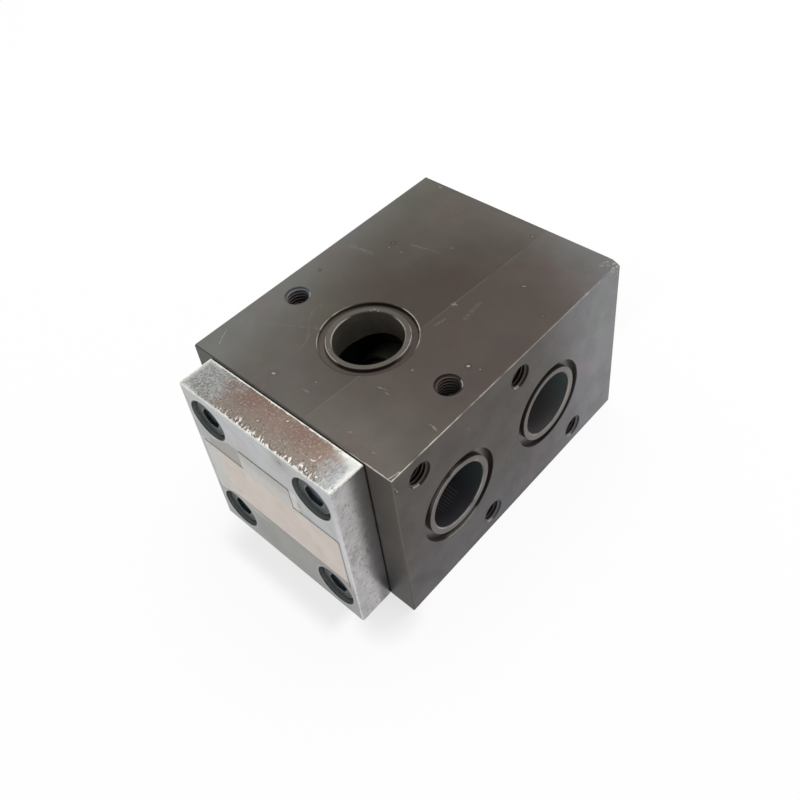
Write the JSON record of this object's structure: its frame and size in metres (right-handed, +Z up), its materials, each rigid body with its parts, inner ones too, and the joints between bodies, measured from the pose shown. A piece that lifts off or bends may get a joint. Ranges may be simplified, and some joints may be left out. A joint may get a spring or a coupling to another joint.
{
  "type": "thermostatic valve",
  "caption": "Thermostatic oil valve: a bored rectangular block with flanged ports, a bolted end cover, and a sprung wax element that opens a second way as the oil warms.",
  "frame": {"origin": "middle of the underside of the whole valve, cover included", "axes": "+Z up through the top port, +X out of the face with the two side ports, -Y out of the cover; the main bore runs along Y"},
  "size_m": [0.1, 0.1452, 0.08],
  "materials": {
    "anodised_body": "satin, dark brown-grey hard anodising, scratched, bare at worn edges",
    "plated_cover": "zinc plated, pitted and stained",
    "black_screw": "black oxide",
    "sticker": "bare pinkish beige film, grey at the edges",
    "rubber": "oiled black rubber",
    "bronze": "oily bronze",
    "brass": "turned, oily",
    "spring_steel": "drawn wire, oily",
    "pressed_steel": "plain pressed steel, oily",
    "polished_steel": "ground and polished",
    "wax": "solid wax"
  },
  "bodies": {
    "housing": {"valve_body": "anodised_body", "cover_plate": "plated_cover", "cover_seal": "rubber", "cover_screw_1": "black_screw", "cover_screw_2": "black_screw", "cover_screw_3": "black_screw", "cover_screw_4": "black_screw", "data_label": "sticker", "seat_ring": "bronze", "seat_seal": "rubber", "retaining_ring": "spring_steel", "thermostat_cage": "bronze", "piston_bridge": "bronze", "piston_pin": "polished_steel", "main_spring": "spring_steel"},
    "wax_element": {"valve_disc": "pressed_steel", "disc_clip": "spring_steel", "capsule_cup": "brass", "capsule_guide": "brass", "rubber_boot": "rubber", "wax_charge": "wax"}
  },
  "joints": [
    {"name": "valve_opening", "type": "slide", "parent": "housing", "child": "wax_element", "axis": [0, -1, 0], "range_m": [0, 0.008], "stiffness_N_per_m": 6000, "springref_m": -0.01, "deforming": ["main_spring"]}
  ]
}
